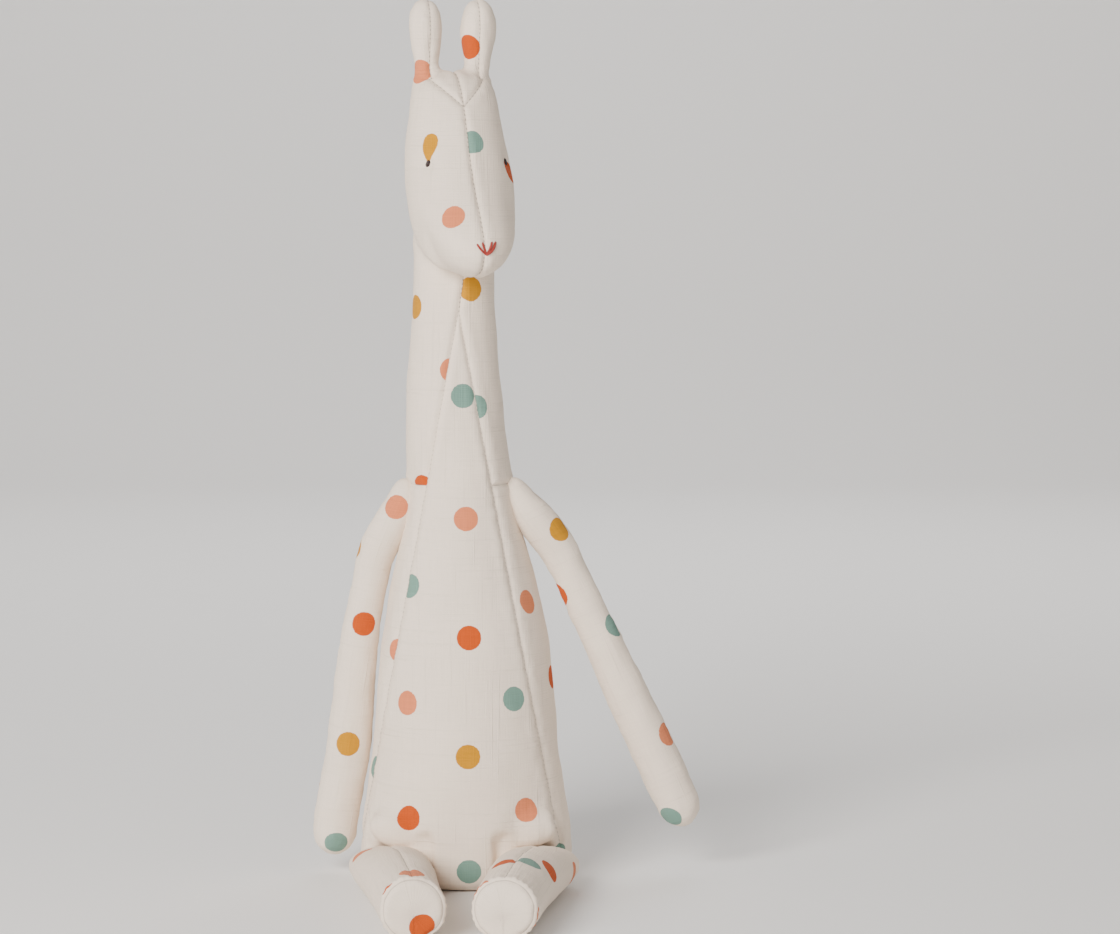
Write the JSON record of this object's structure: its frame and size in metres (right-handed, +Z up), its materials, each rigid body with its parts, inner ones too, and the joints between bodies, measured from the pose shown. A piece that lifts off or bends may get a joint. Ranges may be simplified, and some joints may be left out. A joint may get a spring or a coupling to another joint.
{
  "type": "stuffed giraffe soft toy",
  "caption": "Sitting stuffed giraffe sewn from dotted linen panels, with a long neck, upright ears, hanging arms and forward legs ending in round soles.",
  "frame": {"origin": "middle of the flat seat panel, on the floor", "axes": "+Z up through the neck, -Y the way the giraffe faces, +X its own left side"},
  "size_m": [0.1959, 0.1992, 0.4371],
  "materials": {
    "linen_body": "natural off-white linen with printed dots, dry matt weave",
    "linen_head": "natural off-white linen with printed dots, dry matt weave",
    "linen_limb": "natural off-white linen with printed dots, dry matt weave",
    "filling": "white fibre filling",
    "pouch_calico": "plain unbleached calico",
    "eye_floss": "very dark brown embroidery floss",
    "nose_floss": "dark red embroidery floss",
    "sewing_thread": "pale cotton sewing thread"
  },
  "bodies": {
    "torso": {"belly_gusset": "linen_body", "body_side_left": "linen_body", "body_side_right": "linen_body", "neck_side_left": "linen_body", "neck_side_right": "linen_body", "seat_base": "linen_body", "body_filling": "filling", "neck_filling": "filling", "ballast_pouch": "pouch_calico", "closing_thread": "sewing_thread", "shoulder_thread_left": "sewing_thread", "shoulder_thread_right": "sewing_thread"},
    "head": {"head_side_left": "linen_head", "head_side_right": "linen_head", "crown_left": "linen_head", "crown_right": "linen_head", "head_filling": "filling", "eye_left": "eye_floss", "eye_right": "eye_floss", "nose_thread_left": "nose_floss", "nose_thread_right": "nose_floss"},
    "ear_left": {"ear_left_outer": "linen_head", "ear_left_inner": "linen_head", "ear_left_filling": "filling"},
    "arm_left": {"arm_left_front": "linen_limb", "arm_left_back": "linen_limb", "arm_left_filling": "filling"},
    "leg_left": {"leg_left_outer": "linen_limb", "leg_left_inner": "linen_limb", "leg_left_sole": "linen_limb", "leg_left_filling": "filling"},
    "ear_right": {"ear_right_outer": "linen_head", "ear_right_inner": "linen_head", "ear_right_filling": "filling"},
    "arm_right": {"arm_right_front": "linen_limb", "arm_right_back": "linen_limb", "arm_right_filling": "filling"},
    "leg_right": {"leg_right_outer": "linen_limb", "leg_right_inner": "linen_limb", "leg_right_sole": "linen_limb", "leg_right_filling": "filling"}
  },
  "joints": [
    {"name": "head_nod", "type": "hinge", "parent": "torso", "child": "head", "pos_m": [-0.005, 0.004, 0.3185], "axis": [0.9613, 0.2756, 0], "range_deg": [-15, 15]},
    {"name": "ear_left_bend", "type": "hinge", "parent": "head", "child": "ear_left", "pos_m": [0.00564, 0.01225, 0.3985], "axis": [0.9613, 0.2756, 0], "range_deg": [-15, 15]},
    {"name": "ear_right_bend", "type": "hinge", "parent": "head", "child": "ear_right", "pos_m": [-0.01839, 0.00536, 0.3985], "axis": [0.9613, 0.2756, 0], "range_deg": [-15, 15]},
    {"name": "arm_left_swing", "type": "hinge", "parent": "torso", "child": "arm_left", "pos_m": [0.03273, 0.00326, 0.195], "axis": [1, 0, 0], "range_deg": [-150, 60]},
    {"name": "arm_right_swing", "type": "hinge", "parent": "torso", "child": "arm_right", "pos_m": [-0.03824, 0.00326, 0.195], "axis": [1, 0, 0], "range_deg": [-150, 60]},
    {"name": "leg_left_swing", "type": "hinge", "parent": "torso", "child": "leg_left", "pos_m": [0.0375, -0.0326, 0.0105], "axis": [0.9914, -0.1305, 0], "range_deg": [-12, 80]},
    {"name": "leg_right_swing", "type": "hinge", "parent": "torso", "child": "leg_right", "pos_m": [-0.0375, -0.0326, 0.0105], "axis": [0.989, 0.1478, 0], "range_deg": [-12, 80]}
  ]
}
